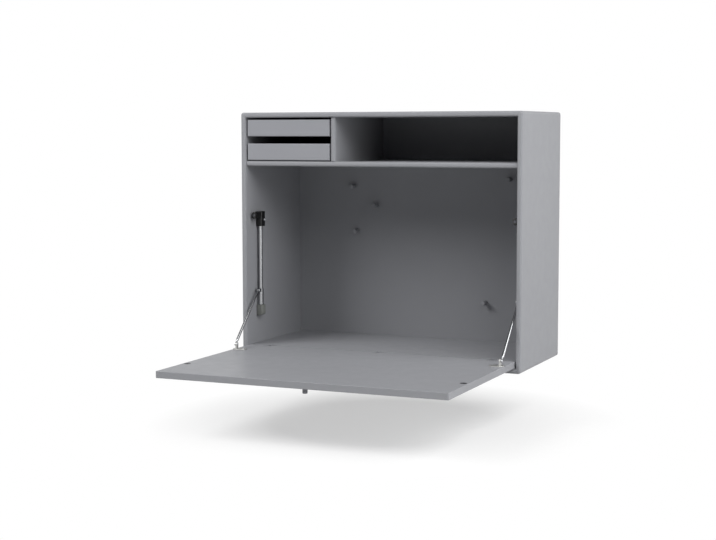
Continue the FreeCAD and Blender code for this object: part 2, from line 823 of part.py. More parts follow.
def tray_side(bottom, outer, inward):
    """A side wall with its runner groove; inward points from the outer face to the tray."""
    front = shelf_recess + tray_front_thickness
    back = shelf_recess + tray_depth
    near, far = sorted((outer, outer + inward * tray_wall))
    wall = block(near, far, front, back, bottom, bottom + tray_height - tray_wall_drop)
    groove_depth = runner_projection - tray_side_gap + runner_gap
    near, far = sorted((outer, outer + inward * groove_depth))
    level = bottom + runner_level
    half = runner_height / 2 + runner_gap
    groove = block(near, far, front, back, level - half, level + half)
    return wall.cut(groove).cut(tray_base(bottom))


def tray_back(bottom):
    back = shelf_recess + tray_depth
    top = bottom + tray_height - tray_wall_drop
    board = block(tray_left + tray_wall, tray_right - tray_wall, back - tray_wall, back, bottom, top)
    return board.cut(tray_base(bottom))


def tray_pieces(name, bottom):
    return {
        f"{name}_tray_front": tray_front(bottom),
        f"{name}_tray_left_side": tray_side(bottom, tray_left, 1),
        f"{name}_tray_right_side": tray_side(bottom, tray_right, -1),
        f"{name}_tray_back": tray_back(bottom),
        f"{name}_tray_base": tray_base(bottom),
    }


def drawer_runners():
    front = shelf_recess + tray_front_thickness + runner_end_gap
    back = front + runner_length
    strips = []
    for bottom in TRAYS.values():
        low = bottom + runner_level - runner_height / 2
        high = low + runner_height
        for near in (-inner_half, divider_left - runner_projection):
            strips.append(block(near, near + runner_projection, front, back, low, high))
    return [drilled(strip, runner_screws(dowel_gap)) for strip in strips]


# The whole desk

def cabinet_pieces():
    shelf_set, divider_set = dowels()
    pieces = frame_panels()
    pieces.update({
        "back_panel": back_panel(),
        "shelf": shelf(),
        "divider": divider(),
        "inner_floor": inner_floor(),
        "shelf_dowels": shelf_set,
        "divider_dowels": divider_set,
        "back_screws": back_screws(),
        "drawer_runners": drawer_runners(),
        "runner_screws": runner_screws(),
        "hanging_pegs": hanging_pegs(),
        "stay_screws": stay_screws(),
        "hinge_floor_leaves": [hinge_floor_leaf(centre) for centre in hinge_positions],
        "floor_leaf_screws": floor_leaf_screws(),
    })
    return pieces


def flap_pieces():
    return {
        "flap_panel": flap_panel(),
        "hinge_flap_leaves": [hinge_flap_leaf(centre) for centre in hinge_positions],
        "flap_leaf_screws": flap_leaf_screws(),
        "hinge_pins": [hinge_pin(centre) for centre in hinge_positions],
        "flap_knob": flap_knob(),
        "knob_stud": knob_stud(),
        "strike_discs": both_sides([strike_disc()]),
        "anchor_screws": anchor_screws(),
    }


def stay_pieces(name, side):
    return {
        f"{name}_stay_rail": at_side(stay_rail(), side),
        f"{name}_stay_top_bracket": at_side(stay_top_bracket(), side),
        f"{name}_catch_magnet": at_side(catch_magnet(), side),
        f"{name}_stay_foot": at_side(stay_foot(), side),
        f"{name}_stay_slider": at_side(stay_slider(), side),
        f"{name}_slider_bush": at_side(slider_bush(), side),
        f"{name}_slider_rivets": [at_side(rivet, side) for rivet in slider_rivets()],
        f"{name}_stay_arm": at_side(stay_arm(), side),
        f"{name}_stay_anchor": at_side(stay_anchor(), side),
        f"{name}_anchor_pin": at_side(anchor_pin(), side),
    }


def save_part(name, shape):
    """Moves a piece, or a list of like pieces, to the part's frame and writes its file."""
    solids = shape if isinstance(shape, list) else [shape]
    placed = Part.makeCompound(solids) if len(solids) > 1 else solids[0]
    placed = placed.translated(Vector(0, -cabinet_depth, -wall_screw_height))
    placed.exportStep(f"parts/{name}.step")


def main():
    os.makedirs("parts", exist_ok=True)
    pieces = cabinet_pieces()
    pieces.update(flap_pieces())
    for name, side in SIDES.items():
        pieces.update(stay_pieces(name, side))
    for name, bottom in TRAYS.items():
        pieces.update(tray_pieces(name, bottom))
    for name, shape in pieces.items():
        save_part(name, shape)


main()
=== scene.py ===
import math

import bmesh
import bpy
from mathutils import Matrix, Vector


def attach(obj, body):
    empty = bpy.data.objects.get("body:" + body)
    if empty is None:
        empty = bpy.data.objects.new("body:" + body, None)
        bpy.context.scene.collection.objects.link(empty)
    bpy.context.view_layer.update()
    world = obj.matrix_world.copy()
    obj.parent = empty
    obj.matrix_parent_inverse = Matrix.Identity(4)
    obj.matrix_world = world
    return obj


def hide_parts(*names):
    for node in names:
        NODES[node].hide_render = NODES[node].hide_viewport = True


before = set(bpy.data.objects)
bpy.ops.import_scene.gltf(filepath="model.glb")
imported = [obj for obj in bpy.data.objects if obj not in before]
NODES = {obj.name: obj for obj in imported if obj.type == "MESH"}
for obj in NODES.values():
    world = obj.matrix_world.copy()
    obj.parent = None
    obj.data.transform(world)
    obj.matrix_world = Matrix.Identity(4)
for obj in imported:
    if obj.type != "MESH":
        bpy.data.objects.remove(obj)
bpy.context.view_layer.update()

bl_info = {
    "name": "Fold-down wall desk",
    "version": (1, 0, 0),
    "blender": (4, 5, 0),
    "location": "View3D > Sidebar > Wall desk",
    "description": "Finishes, fittings, studio and camera for a fold-down wall desk",
    "category": "Object",
}

MM = 0.001
CABINET_DEPTH = 300.0
WALL_SCREW_HEIGHT = 540.0
SIDES = {"left": -1, "right": 1}
X_AXIS = Vector((1, 0, 0))
Y_AXIS = Vector((0, 1, 0))
Z_AXIS = Vector((0, 0, 1))

# Sizes of the fittings in mm, from the middle, the front plane and the underside of the cabinet
SIDE_FACE = 336.0
HOLDER_FACE = 320.0
HOLDER_FRONT = 50.0
STAY_X = 328.0
RAIL_Y = 58.0
SLIDER_PIVOT = (44.0, 155.1)
ANCHOR_PIVOT = (-72.5, 39.8)
FLAP_FACE = 27.3
FLAP_UNDERSIDE = 12.3
FLOOR_FACE = 27.0
HINGE_AXIS = (12.5, 19.8)
HINGE_PLACES = (-280.0, 0.0, 280.0)
PEG_PLACES = ((-183.5, 400.0), (-122.0, 352.5), (-175.0, 287.5), (227.5, 421.5), (166.5, 120.5))
RAIL_RADIUS = 5.0
BRACKET_SPAN = (310.0, 345.5)
BRACKET_SCREW_PLACE = (65.5, 325.5)
MAGNET_PLACE = (326.0, 337.5)
FOOT_SPAN = (93.0, 119.0)
SLIDER_BOTTOM = 119.3
FORK_HALF_GAP = 2.9
CHEEK_THICKNESS = 1.6
EYE_RADIUS = 4.2
NOSE_ROUNDING = 4.15        # a hair under the eye's radius, so that a narrow flat is left
LOWER_EYE_THICKNESS = 2.6
UPPER_EYE_THICKNESS = 5.0
PIN_HOLE_RADIUS = 1.85
ANCHOR_POST_X = 322.65
ANCHOR_SCREW_X = 307.0
LEAF_SCREW_OFFSET = 6.0     # each side of the hinge's middle
FLOOR_LEAF_SCREW_Y = 28.5
FLAP_LEAF_SCREW_Y = 1.5

# Screws in mm: radius of the shank, radius of the head, length
BRACKET_SCREW = (1.75, 3.2, 25)
ANCHOR_SCREW = (1.75, 3.4, 11)
LEAF_SCREW = (1.4, 2.6, 11)
RUNNER_SCREW = (1.5, 2.8, 14)
BACK_SCREW = (1.25, 2.3, 16)

# Studio: places in metres, turns in degrees, power in watts
SOFTBOX_SIZE = (2.0, 2.0)
SOFTBOXES = {
    "front_left_softbox": ((-2.0, -2.4, 2.0), 96),
    "front_right_softbox": ((2.2, -2.4, 2.0), 52),
    "high_right_softbox": ((2.8, -0.4, 2.4), 60),
    "low_right_softbox": ((3.2, -1.0, 0.5), 39),
}
FLOOR_SIZE = 60
FLOOR_RETURN = 0.65         # share of the light that the floor throws back
CAMERA_PLACE = (1.3082, -3.3869, -0.0023)
CAMERA_TURN = (84.59, 0.0786, 23.6586)


def linear(code):
    """An sRGB hex colour as linear RGB."""
    values = [int(code[i:i + 2], 16) / 255 for i in (0, 2, 4)]
    return tuple(v / 12.92 if v <= 0.04045 else ((v + 0.055) / 1.055) ** 2.4 for v in values)


def at(x, y, z):
    """A point in mm in the cabinet's own frame, as a place in metres in the part's frame."""
    return Vector((x, y - CABINET_DEPTH, z - WALL_SCREW_HEIGHT)) * MM


# Sizes and colours that a user may change

class DeskColours(bpy.types.PropertyGroup):
    lacquer: bpy.props.FloatVectorProperty(
        name="Lacquer", description="Colour of the cabinet and the flap",
        default=linear("96979b"), min=0, max=1, subtype="COLOR")
    tray_lacquer: bpy.props.FloatVectorProperty(
        name="Tray lacquer", description="Colour of the tray drawers",
        default=linear("97989d"), min=0, max=1, subtype="COLOR")
    chrome: bpy.props.FloatVectorProperty(
        name="Chrome", description="Reflection colour of the chrome plate",
        default=linear("a9aaac"), min=0, max=1, subtype="COLOR")
    black_plastic: bpy.props.FloatVectorProperty(
        name="Black plastic", description="Colour of the stays' top brackets",
        default=linear("0c0c0d"), min=0, max=1, subtype="COLOR")
    floor: bpy.props.FloatVectorProperty(
        name="Floor", description="Colour of the studio floor",
        default=(1.0, 1.0, 1.0), min=0, max=1, subtype="COLOR")


class DeskSizes(bpy.types.PropertyGroup):
    arris: bpy.props.FloatProperty(
        name="Arris", description="Easing of the fittings' edges",
        default=0.35 * MM, min=0.05 * MM, max=1 * MM, unit="LENGTH", subtype="DISTANCE")
    recess_depth: bpy.props.FloatProperty(
        name="Screw recess", description="Depth of the cross in the screws' heads",
        default=1.1 * MM, min=0.2 * MM, max=1.8 * MM, unit="LENGTH", subtype="DISTANCE")
    floor_drop: bpy.props.FloatProperty(
        name="Floor drop", description="Studio floor below the cabinet's underside",
        default=0.125, min=0.03, max=2, unit="LENGTH", subtype="DISTANCE")
    lens: bpy.props.FloatProperty(
        name="Lens", description="Focal length of the camera", default=73.64, min=20, max=200,
        unit="CAMERA")


# Modelling by hand

def deselect():
    bpy.ops.object.select_all(action="DESELECT")


def activate(piece):
    deselect()
    piece.select_set(True)
    bpy.context.view_layer.objects.active = piece


def edit(piece, kind="FACE"):
    activate(piece)
    bpy.ops.object.mode_set(mode="EDIT")
    bpy.ops.mesh.select_mode(type=kind)


def leave_edit():
    bpy.ops.object.mode_set(mode="OBJECT")


def pick(piece, test, kind="faces"):
    """In edit mode, selects the faces or edges that pass a test."""
    bpy.ops.mesh.select_all(action="DESELECT")
    mesh = bmesh.from_edit_mesh(piece.data)
    for item in getattr(mesh, kind):
        if test(item):
            item.select_set(True)
    bmesh.update_edit_mesh(piece.data)


def edge_middle(edge):
    return (edge.verts[0].co + edge.verts[1].co) / 2


def edge_runs(edge, axis):
    along = (edge.verts[0].co - edge.verts[1].co).normalized()
    return abs(along.dot(axis)) > 0.999


def settle(piece):
    """Moves an object's place into its mesh."""
    activate(piece)
    bpy.ops.object.transform_apply(location=True, rotation=True, scale=True)
    return piece


def ease(piece, width, segments=2, angle=40):
    """Rounds a piece's sharp edges a little."""
    activate(piece)
    bpy.ops.object.modifier_add(type="BEVEL")
    bevel = piece.modifiers[-1]
    bevel.width = width
    bevel.segments = segments
    bevel.limit_method = "ANGLE"
    bevel.angle_limit = math.radians(angle)
    bpy.ops.object.modifier_apply(modifier=bevel.name)
    return piece


def block(low, high, arris=None, rounding=0.0, rounded=None):
    """A box between two corners, with one set of edges well rounded and all of them eased."""
    deselect()
    bpy.ops.mesh.primitive_cube_add(size=1, location=(low + high) / 2, scale=high - low)
    piece = settle(bpy.context.object)
    if rounding:
        edit(piece, "EDGE")
        pick(piece, rounded, "edges")
        bpy.ops.mesh.bevel(offset=rounding, segments=8, affect="EDGES")
        leave_edit()
    if arris is None:
        arris = bpy.context.scene.desk_sizes.arris
    return ease(piece, arris) if arris else piece


def box_at(low, high, **settings):
    """A block between two corners in mm in the cabinet's frame."""
    a, b = at(*low), at(*high)
    corners = list(zip(*[sorted(pair) for pair in zip(a, b)]))
    return block(Vector(corners[0]), Vector(corners[1]), **settings)


def turned(profile, start, direction, vertices=48):
    """A turned piece: a disc drawn out along its axis through steps of (radius, height) in mm."""
    axis = Vector(direction).normalized()
    radius, height = profile[0]
    deselect()
    bpy.ops.mesh.primitive_circle_add(
        vertices=vertices, radius=radius * MM, fill_type="NGON",
        location=start + axis * height * MM, rotation=axis.to_track_quat("Z", "Y").to_euler())
    piece = settle(bpy.context.object)
    edit(piece)
    bpy.ops.mesh.select_all(action="SELECT")
    for next_radius, next_height in profile[1:]:
        rise = axis * (next_height - height) * MM
        bpy.ops.mesh.extrude_region_move(TRANSFORM_OT_translate={"value": rise})
        share = next_radius / radius
        bpy.ops.transform.resize(
            value=(share, share, share), center_override=start + axis * next_height * MM)
        radius, height = next_radius, next_height
    bpy.ops.mesh.select_all(action="SELECT")
    bpy.ops.mesh.normals_make_consistent(inside=False)
    leave_edit()
    return piece


def bar(radius, length, chamfer=0.3):
    """The profile of a plain turned bar with chamfered ends."""
    return [(radius - chamfer, 0), (radius, chamfer), (radius, length - chamfer),
            (radius - chamfer, length)]


def carved(piece, *tools, operation="DIFFERENCE"):
    """A piece with tools cut out of it, or joined to it."""
    for tool in tools:
        activate(piece)
        bpy.ops.object.modifier_add(type="BOOLEAN")
        cut = piece.modifiers[-1]
        cut.operation = operation
        cut.solver = "EXACT"
        cut.object = tool
        bpy.ops.object.modifier_apply(modifier=cut.name)
        bpy.data.objects.remove(tool)
    return piece


def united(piece, *others):
    return carved(piece, *others, operation="UNION")


def copied(piece, move=(0, 0, 0), mirror=False):
    """A copy of a piece with its own mesh, moved or mirrored across the cabinet's middle."""
    activate(piece)
    bpy.ops.object.duplicate(linked=False)
    twin = bpy.context.object
    edit(twin)
    bpy.ops.mesh.select_all(action="SELECT")
    if mirror:
        bpy.ops.transform.resize(value=(-1, 1, 1), center_override=(0, 0, 0))
        bpy.ops.mesh.normals_make_consistent(inside=False)
    bpy.ops.transform.translate(value=Vector(move))
    leave_edit()
    return twin


def joined(pieces):
    deselect()
    for piece in pieces:
        piece.select_set(True)
    bpy.context.view_layer.objects.active = pieces[0]
    bpy.ops.object.join()
    return bpy.context.object


def fit(piece, name, body, slot, *nodes):
    """Names a finished piece, smooths it, gives it its finish and its body, and its node's place."""
    piece.name = name
    piece.data.name = name
    activate(piece)
    bpy.ops.object.shade_smooth_by_angle(angle=math.radians(35))
    piece.data.materials.clear()
    piece.data.materials.append(finish(slot))
    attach(piece, body)
    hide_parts(*nodes)
    return piece


# Materials

def add(tree, kind, inputs=None, **settings):
    """Adds a node with its settings, and its inputs as values or as links from other nodes."""
    node = tree.nodes.new(kind)
    for name, value in settings.items():
        setattr(node, name, value)
    for name, value in (inputs or {}).items():
        if isinstance(value, bpy.types.NodeSocket):
            tree.links.new(value, node.inputs[name])
        else:
            node.inputs[name].default_value = value
    return node


def new_material(name):
    material = bpy.data.materials.new(name)
    material.use_nodes = True
    material.node_tree.nodes.clear()
    return material, material.node_tree


def close(tree, **inputs):
    """The shader and the output, from the shader's sockets by name."""
    named = {name.replace("_", " "): value for name, value in inputs.items()}
    shader = add(tree, "ShaderNodeBsdfPrincipled", named)
    add(tree, "ShaderNodeOutputMaterial", {"Surface": shader.outputs[0]})


def per_metre(millimetres):
    """The scale of a pattern whose features are that many millimetres apart."""
    return 1000.0 / millimetres


def lacquered_board(name, colour, drift=0.025):
    """Fibreboard sprayed with satin lacquer: an even grey with a soft sheen at low angles."""
    material, tree = new_material(name)
    place = add(tree, "ShaderNodeTexCoord").outputs["Object"]
    # The spray's coats differ a little in tone over the width of a pass, about 140 mm
    passes = add(tree, "ShaderNodeTexNoise",
                 {"Vector": place, "Scale": per_metre(140), "Detail": 2.0, "Roughness": 0.55})
    darker = tuple(c * (1 - drift) for c in colour) + (1,)
    lighter = tuple(c * (1 + drift) for c in colour) + (1,)
    tone = add(tree, "ShaderNodeMix", {"Factor": passes.outputs["Fac"], "A": darker, "B": lighter},
               data_type="RGBA")
    # The sheen varies where the film is thicker, in patches of about 25 mm
    film = add(tree, "ShaderNodeTexNoise", {"Vector": place, "Scale": per_metre(25), "Detail": 3.0})
    sheen = add(tree, "ShaderNodeMapRange",
                {"Value": film.outputs["Fac"], "From Min": 0.3, "From Max": 0.7,
                 "To Min": 0.36, "To Max": 0.44})
    # Orange peel is about 1.5 mm across; it is drawn at 4 mm, because the real one is too fine to show
    peel = add(tree, "ShaderNodeTexNoise",
               {"Vector": place, "Scale": per_metre(4), "Detail": 2.0, "Roughness": 0.4})
    bump = add(tree, "ShaderNodeBump",
               {"Height": peel.outputs["Fac"], "Strength": 0.025, "Distance": 0.4 * MM})
    close(tree, Base_Color=tone.outputs["Result"], Roughness=sheen.outputs["Result"],
          Normal=bump.outputs["Normal"], Specular_IOR_Level=0.1)
    return material


def chrome_plate():
    """Polished chrome over steel: a mirror with faint drawing lines along the rod."""
    material, tree = new_material("chrome_plated_steel")
    place = add(tree, "ShaderNodeTexCoord").outputs["Object"]
    stretched = add(tree, "ShaderNodeMapping", {"Vector": place, "Scale": (1.0, 1.0, 0.04)})
    lines = add(tree, "ShaderNodeTexNoise",
                {"Vector": stretched.outputs["Vector"], "Scale": per_metre(0.8), "Detail": 2.0})
    rough = add(tree, "ShaderNodeMapRange",
                {"Value": lines.outputs["Fac"], "To Min": 0.16, "To Max": 0.28})
    bump = add(tree, "ShaderNodeBump",
               {"Height": lines.outputs["Fac"], "Strength": 0.03, "Distance": 0.05 * MM})
    colour = tuple(bpy.context.scene.desk_colours.chrome) + (1,)
    close(tree, Base_Color=colour, Metallic=1.0, Roughness=rough.outputs["Result"],
          Normal=bump.outputs["Normal"])
    return material


def plated(name, code, rough_low, rough_high, grain, bump_strength=0.05):
    """Plated or coated metal with a faint crystalline mottle."""
    material, tree = new_material(name)
    place = add(tree, "ShaderNodeTexCoord").outputs["Object"]
    mottle = add(tree, "ShaderNodeTexNoise",
                 {"Vector": place, "Scale": per_metre(grain), "Detail": 4.0, "Roughness": 0.6})
    rough = add(tree, "ShaderNodeMapRange",
                {"Value": mottle.outputs["Fac"], "From Min": 0.25, "From Max": 0.75,
                 "To Min": rough_low, "To Max": rough_high})
    colour = linear(code)
    tone = add(tree, "ShaderNodeMix",
               {"Factor": mottle.outputs["Fac"], "A": tuple(c * 0.9 for c in colour) + (1,),
                "B": tuple(min(1, c * 1.1) for c in colour) + (1,)}, data_type="RGBA")
    bump = add(tree, "ShaderNodeBump",
               {"Height": mottle.outputs["Fac"], "Strength": bump_strength, "Distance": 0.1 * MM})
    close(tree, Base_Color=tone.outputs["Result"], Metallic=1.0, Roughness=rough.outputs["Result"],
          Normal=bump.outputs["Normal"])
    return material


def moulded(name, colour, rough, texture, specular=0.5, depth=0.3):
    """Moulded plastic: the tool's spark-eroded skin breaks up its highlight."""
    material, tree = new_material(name)
    place = add(tree, "ShaderNodeTexCoord").outputs["Object"]
    skin = add(tree, "ShaderNodeTexVoronoi", {"Vector": place, "Scale": per_metre(texture)})
    flow = add(tree, "ShaderNodeTexNoise", {"Vector": place, "Scale": per_metre(9), "Detail": 3.0})
    tone = add(tree, "ShaderNodeMix",
               {"Factor": flow.outputs["Fac"], "A": tuple(c * 0.85 for c in colour) + (1,),
                "B": tuple(c * 1.15 for c in colour) + (1,)}, data_type="RGBA")
    sheen = add(tree, "ShaderNodeMapRange",
                {"Value": flow.outputs["Fac"], "To Min": rough - 0.06, "To Max": rough + 0.06})
    bump = add(tree, "ShaderNodeBump",
               {"Height": skin.outputs["Distance"], "Strength": depth, "Distance": 0.1 * MM})
    close(tree, Base_Color=tone.outputs["Result"], Roughness=sheen.outputs["Result"],
          Normal=bump.outputs["Normal"], Specular_IOR_Level=specular)
    return material


def beech():
    """Turned beech: pale straw wood with short darker flecks along the grain."""
    material, tree = new_material("turned_beech")
    place = add(tree, "ShaderNodeTexCoord").outputs["Object"]
    grain = add(tree, "ShaderNodeMapping", {"Vector": place, "Scale": (0.15, 1.0, 1.0)})
    rings = add(tree, "ShaderNodeTexWave",
                {"Vector": grain.outputs["Vector"], "Scale": per_metre(9), "Distortion": 3.0,
                 "Detail": 3.0})
    flecks = add(tree, "ShaderNodeTexNoise",
                 {"Vector": grain.outputs["Vector"], "Scale": per_metre(0.8), "Detail": 3.0})
    wood = add(tree, "ShaderNodeMix",
               {"Factor": rings.outputs["Fac"], "A": linear("c79f72") + (1,),
                "B": linear("ddbb90") + (1,)}, data_type="RGBA")
    mixed = add(tree, "ShaderNodeMix",
                {"Factor": flecks.outputs["Fac"], "A": linear("a97d54") + (1,),
                 "B": wood.outputs["Result"]}, data_type="RGBA")
    bump = add(tree, "ShaderNodeBump",
               {"Height": flecks.outputs["Fac"], "Strength": 0.2, "Distance": 0.1 * MM})
    close(tree, Base_Color=mixed.outputs["Result"], Roughness=0.6, Normal=bump.outputs["Normal"])
    return material


FINISHES = {}


def finish(slot):
    """The material of a slot, made when it is first asked for."""
    colours = bpy.context.scene.desk_colours
    recipes = {
        "lacquered_board": lambda: lacquered_board("lacquered_fibreboard", colours.lacquer),
        "tray_board": lambda: lacquered_board("lacquered_tray_board", colours.tray_lacquer),
        "runner_strip": lambda: lacquered_board("lacquered_runner_strip", linear("858589")),
        "painted_knob": lambda: lacquered_board("lacquered_turned_knob", linear("8c8d92")),
        "hinge_metal": lambda: lacquered_board("lacquered_pressed_steel", linear("8d8e92")),
        "bright_chrome": chrome_plate,
        "beech_dowel": beech,
        # Bright zinc is a bluish grey with a fine spangle
        "zinc_plated_steel": lambda: plated("zinc_plated_steel", "c6c8cc", 0.18, 0.36, 1.2),
        # Nickel over a zinc casting is warmer and softer than chrome
        "nickel_plated_zinc": lambda: plated("nickel_plated_die_casting", "b9b9b7", 0.5, 0.62, 2.5),
        "magnet_steel": lambda: plated("nickel_plated_magnet", "55565a", 0.3, 0.45, 1.5),
        # Blackened steel keeps a dull metal gleam
        "strike_steel": lambda: plated("blackened_steel", "333438", 0.4, 0.55, 1.5),
        "black_plastic": lambda: moulded(
            "moulded_black_nylon", tuple(colours.black_plastic), 0.36, 0.9),
        "grey_plastic": lambda: moulded("moulded_grey_polypropylene", linear("7b7d79"), 0.48, 1.4),
        "nylon": lambda: moulded("turned_natural_nylon", linear("d6d4cb"), 0.4, 1.0, depth=0.1),
    }
    if slot not in FINISHES:
        FINISHES[slot] = recipes[slot]()
    return FINISHES[slot]


def dress(slot, *nodes):
    """Gives CAD nodes their finish."""
    for name in nodes:
        mesh = NODES[name].data
        mesh.materials.clear()
        mesh.materials.append(finish(slot))


# Pieces

class DESK_OT_boards(bpy.types.Operator):
    """Finish the cabinet's boards and the flap"""
    bl_idname = "desk.boards"
    bl_label = "Boards"

    def execute(self, context):
        dress("lacquered_board", "left_side_panel", "right_side_panel", "top_panel",
              "bottom_panel", "back_panel", "shelf", "divider", "inner_floor", "flap_panel")
        return {"FINISHED"}


class DESK_OT_trays(bpy.types.Operator):
    """Finish the two tray drawers and their runners"""
    bl_idname = "desk.trays"
    bl_label = "Trays"

    def execute(self, context):
        for level in ("lower", "upper"):
            for part in ("front", "left_side", "right_side", "back", "base"):
                dress("tray_board", f"{level}_tray_{part}")
        dress("runner_strip", "drawer_runners")
        return {"FINISHED"}


class DESK_OT_inner_fixings(bpy.types.Operator):
    """Finish the dowels and the knob's stud, which sit inside other pieces"""
    bl_idname = "desk.inner_fixings"
    bl_label = "Inner fixings"

    def execute(self, context):
        dress("beech_dowel", "shelf_dowels", "divider_dowels")
        dress("zinc_plated_steel", "knob_stud")
        return {"FINISHED"}


class DESK_OT_pegs(bpy.types.Operator):
    """Turn the hanging pegs on the back"""
    bl_idname = "desk.pegs"
    bl_label = "Hanging pegs"

    def execute(self, context):
        profile = [(3.0, 0), (3.0, 4.5), (5.5, 4.5), (5.5, 25.3), (5.3, 26.0), (4.8, 26.4),
                   (4.3, 26.5)]
        first_x, first_z = PEG_PLACES[0]
        model = turned(profile, at(first_x, 298.5, first_z), -Y_AXIS)
        pegs = [model]
        for x, z in PEG_PLACES[1:]:
            pegs.append(copied(model, Vector((x - first_x, 0, z - first_z)) * MM))
        for number, peg in enumerate(pegs, 1):
            fit(peg, f"hanging_peg_{number}", "cabinet", "lacquered_board", "hanging_pegs")
        return {"FINISHED"}


class DESK_OT_knob(bpy.types.Operator):
    """Turn the flap's knob"""
    bl_idname = "desk.knob"
    bl_label = "Knob"

    def execute(self, context):
        profile = [(4.2, 0), (4.2, 5.3), (4.4, 5.8), (4.9, 6.0), (5.35, 6.4), (5.5, 7.0),
                   (5.5, 15.9), (5.35, 16.5), (4.9, 16.9), (4.3, 17.0), (2.0, 16.8)]
        seat = at(0, -377.2, FLAP_UNDERSIDE)
        stud = turned(bar(2.05, 10.1, 0.1), seat + Z_AXIS * 0.05 * MM, -Z_AXIS)
        knob = turned(profile, seat, -Z_AXIS)
        fit(carved(knob, stud), "turned_knob", "flap", "painted_knob", "flap_knob")
        return {"FINISHED"}


class DESK_OT_strike_discs(bpy.types.Operator):
    """Turn the steel discs in the flap that meet the catch magnets"""
    bl_idname = "desk.strike_discs"
    bl_label = "Strike discs"

    def execute(self, context):
        profile = [(7.7, 0), (7.7, 1.6), (7.4, 2.0), (6.2, 2.0), (5.9, 1.75), (5.6, 2.0),
                   (1.6, 2.0), (1.0, 1.5)]
        right = turned(profile, at(323, -305.2, FLAP_FACE - 2), Z_AXIS)
        left = copied(right, mirror=True)
        fit(right, "right_strike_disc", "flap", "strike_steel", "strike_discs")
        fit(left, "left_strike_disc", "flap", "strike_steel", "strike_discs")
        return {"FINISHED"}


class DESK_OT_rails(bpy.types.Operator):
    """Turn the stays' upright rails"""
    bl_idname = "desk.rails"
    bl_label = "Stay rails"

    def execute(self, context):
        right = turned(bar(RAIL_RADIUS, 211, 0.6), at(STAY_X, RAIL_Y, 109), Z_AXIS, vertices=64)
        left = copied(right, mirror=True)
        fit(right, "right_rail", "cabinet", "bright_chrome", "right_stay_rail")
        fit(left, "left_rail", "cabinet", "bright_chrome", "left_stay_rail")
        return {"FINISHED"}


def upright_corner(edge):
    """True for the upright edges of a rail holder's front and inner faces."""
    middle = edge_middle(edge)
    inner = abs(middle.x - HOLDER_FACE * MM) < 1e-6
    front = abs(middle.y - at(0, HOLDER_FRONT, 0).y) < 1e-6
    return edge_runs(edge, Z_AXIS) and (inner or front)


def rail_holder(low, high):
    """The moulded block that holds one end of the rail against the side panel."""
    return box_at((HOLDER_FACE, HOLDER_FRONT, low), (SIDE_FACE, HOLDER_FRONT + 20, high), arris=0,
                  rounding=3 * MM, rounded=upright_corner)


class DESK_OT_brackets(bpy.types.Operator):
    """Mould the stays' top brackets and set their catch magnets"""
    bl_idname = "desk.brackets"
    bl_label = "Top brackets"

    def execute(self, context):
        magnet_x, magnet_z = MAGNET_PLACE
        body = ease(rail_holder(*BRACKET_SPAN), 0.7 * MM)
        arm = box_at((321, 20.8, 329.5), (331, 54, 345.4), arris=0.6 * MM, rounding=4 * MM,
                     rounded=lambda edge: edge_runs(edge, Y_AXIS))
        socket = turned(bar(RAIL_RADIUS, 12, 0.1), at(STAY_X, RAIL_Y, 308), Z_AXIS)
        magnet_hole = turned(bar(3.5, 10.5, 0.1), at(magnet_x, 17.8, magnet_z), Y_AXIS)
        screw_hole = turned([(1.8, 0), (1.8, 18)], at(319, *BRACKET_SCREW_PLACE), X_AXIS)
        bracket = carved(united(body, arm), socket, magnet_hole, screw_hole)
        magnet = turned([(3.1, 0), (3.5, 0.4), (3.5, 8.0)], at(magnet_x, 20.3, magnet_z), Y_AXIS)
        pairs = {"right": (bracket, magnet),
                 "left": (copied(bracket, mirror=True), copied(magnet, mirror=True))}
        for side, (holder, disc) in pairs.items():
            fit(holder, f"{side}_top_bracket", "cabinet", "black_plastic",
                f"{side}_stay_top_bracket")
            fit(disc, f"{side}_magnet", "cabinet", "magnet_steel", f"{side}_catch_magnet")
        return {"FINISHED"}


class DESK_OT_feet(bpy.types.Operator):
    """Mould the stays' feet, rounded off below, with the spigots that let them into the sides"""
    bl_idname = "desk.feet"
    bl_label = "Stay feet"

    def execute(self, context):
        corner = box_at((HOLDER_FACE - 1, 45, 92), (HOLDER_FACE + 8, 75, 101), arris=0)
        corner = carved(corner, turned([(8, 0), (8, 40)], at(HOLDER_FACE + 8, 40, 101), Y_AXIS, 64))
        body = ease(carved(rail_holder(*FOOT_SPAN), corner), 0.7 * MM, angle=50)
        spigot = turned(bar(4.0, 9, 0.4), at(SIDE_FACE - 1, RAIL_Y, 102), X_AXIS)
        socket = turned(bar(RAIL_RADIUS, 12, 0.1), at(STAY_X, RAIL_Y, 109), Z_AXIS)
        foot = carved(united(body, spigot), socket)
        twin = copied(foot, mirror=True)
        fit(foot, "right_foot", "cabinet", "grey_plastic", "right_stay_foot")
        fit(twin, "left_foot", "cabinet", "grey_plastic", "left_stay_foot")
        return {"FINISHED"}


def cheek(near):
    """One cheek of the slider's fork: a plate that ends in a round nose at the pivot."""
    y, z = SLIDER_PIVOT

    def at_nose(edge):
        return edge_runs(edge, X_AXIS) and edge_middle(edge).y < at(0, y, 0).y

    return box_at((near, y - EYE_RADIUS, z - EYE_RADIUS),
                  (near + CHEEK_THICKNESS, RAIL_Y, z + EYE_RADIUS),
                  arris=0.25 * MM, rounding=NOSE_ROUNDING * MM, rounded=at_nose)


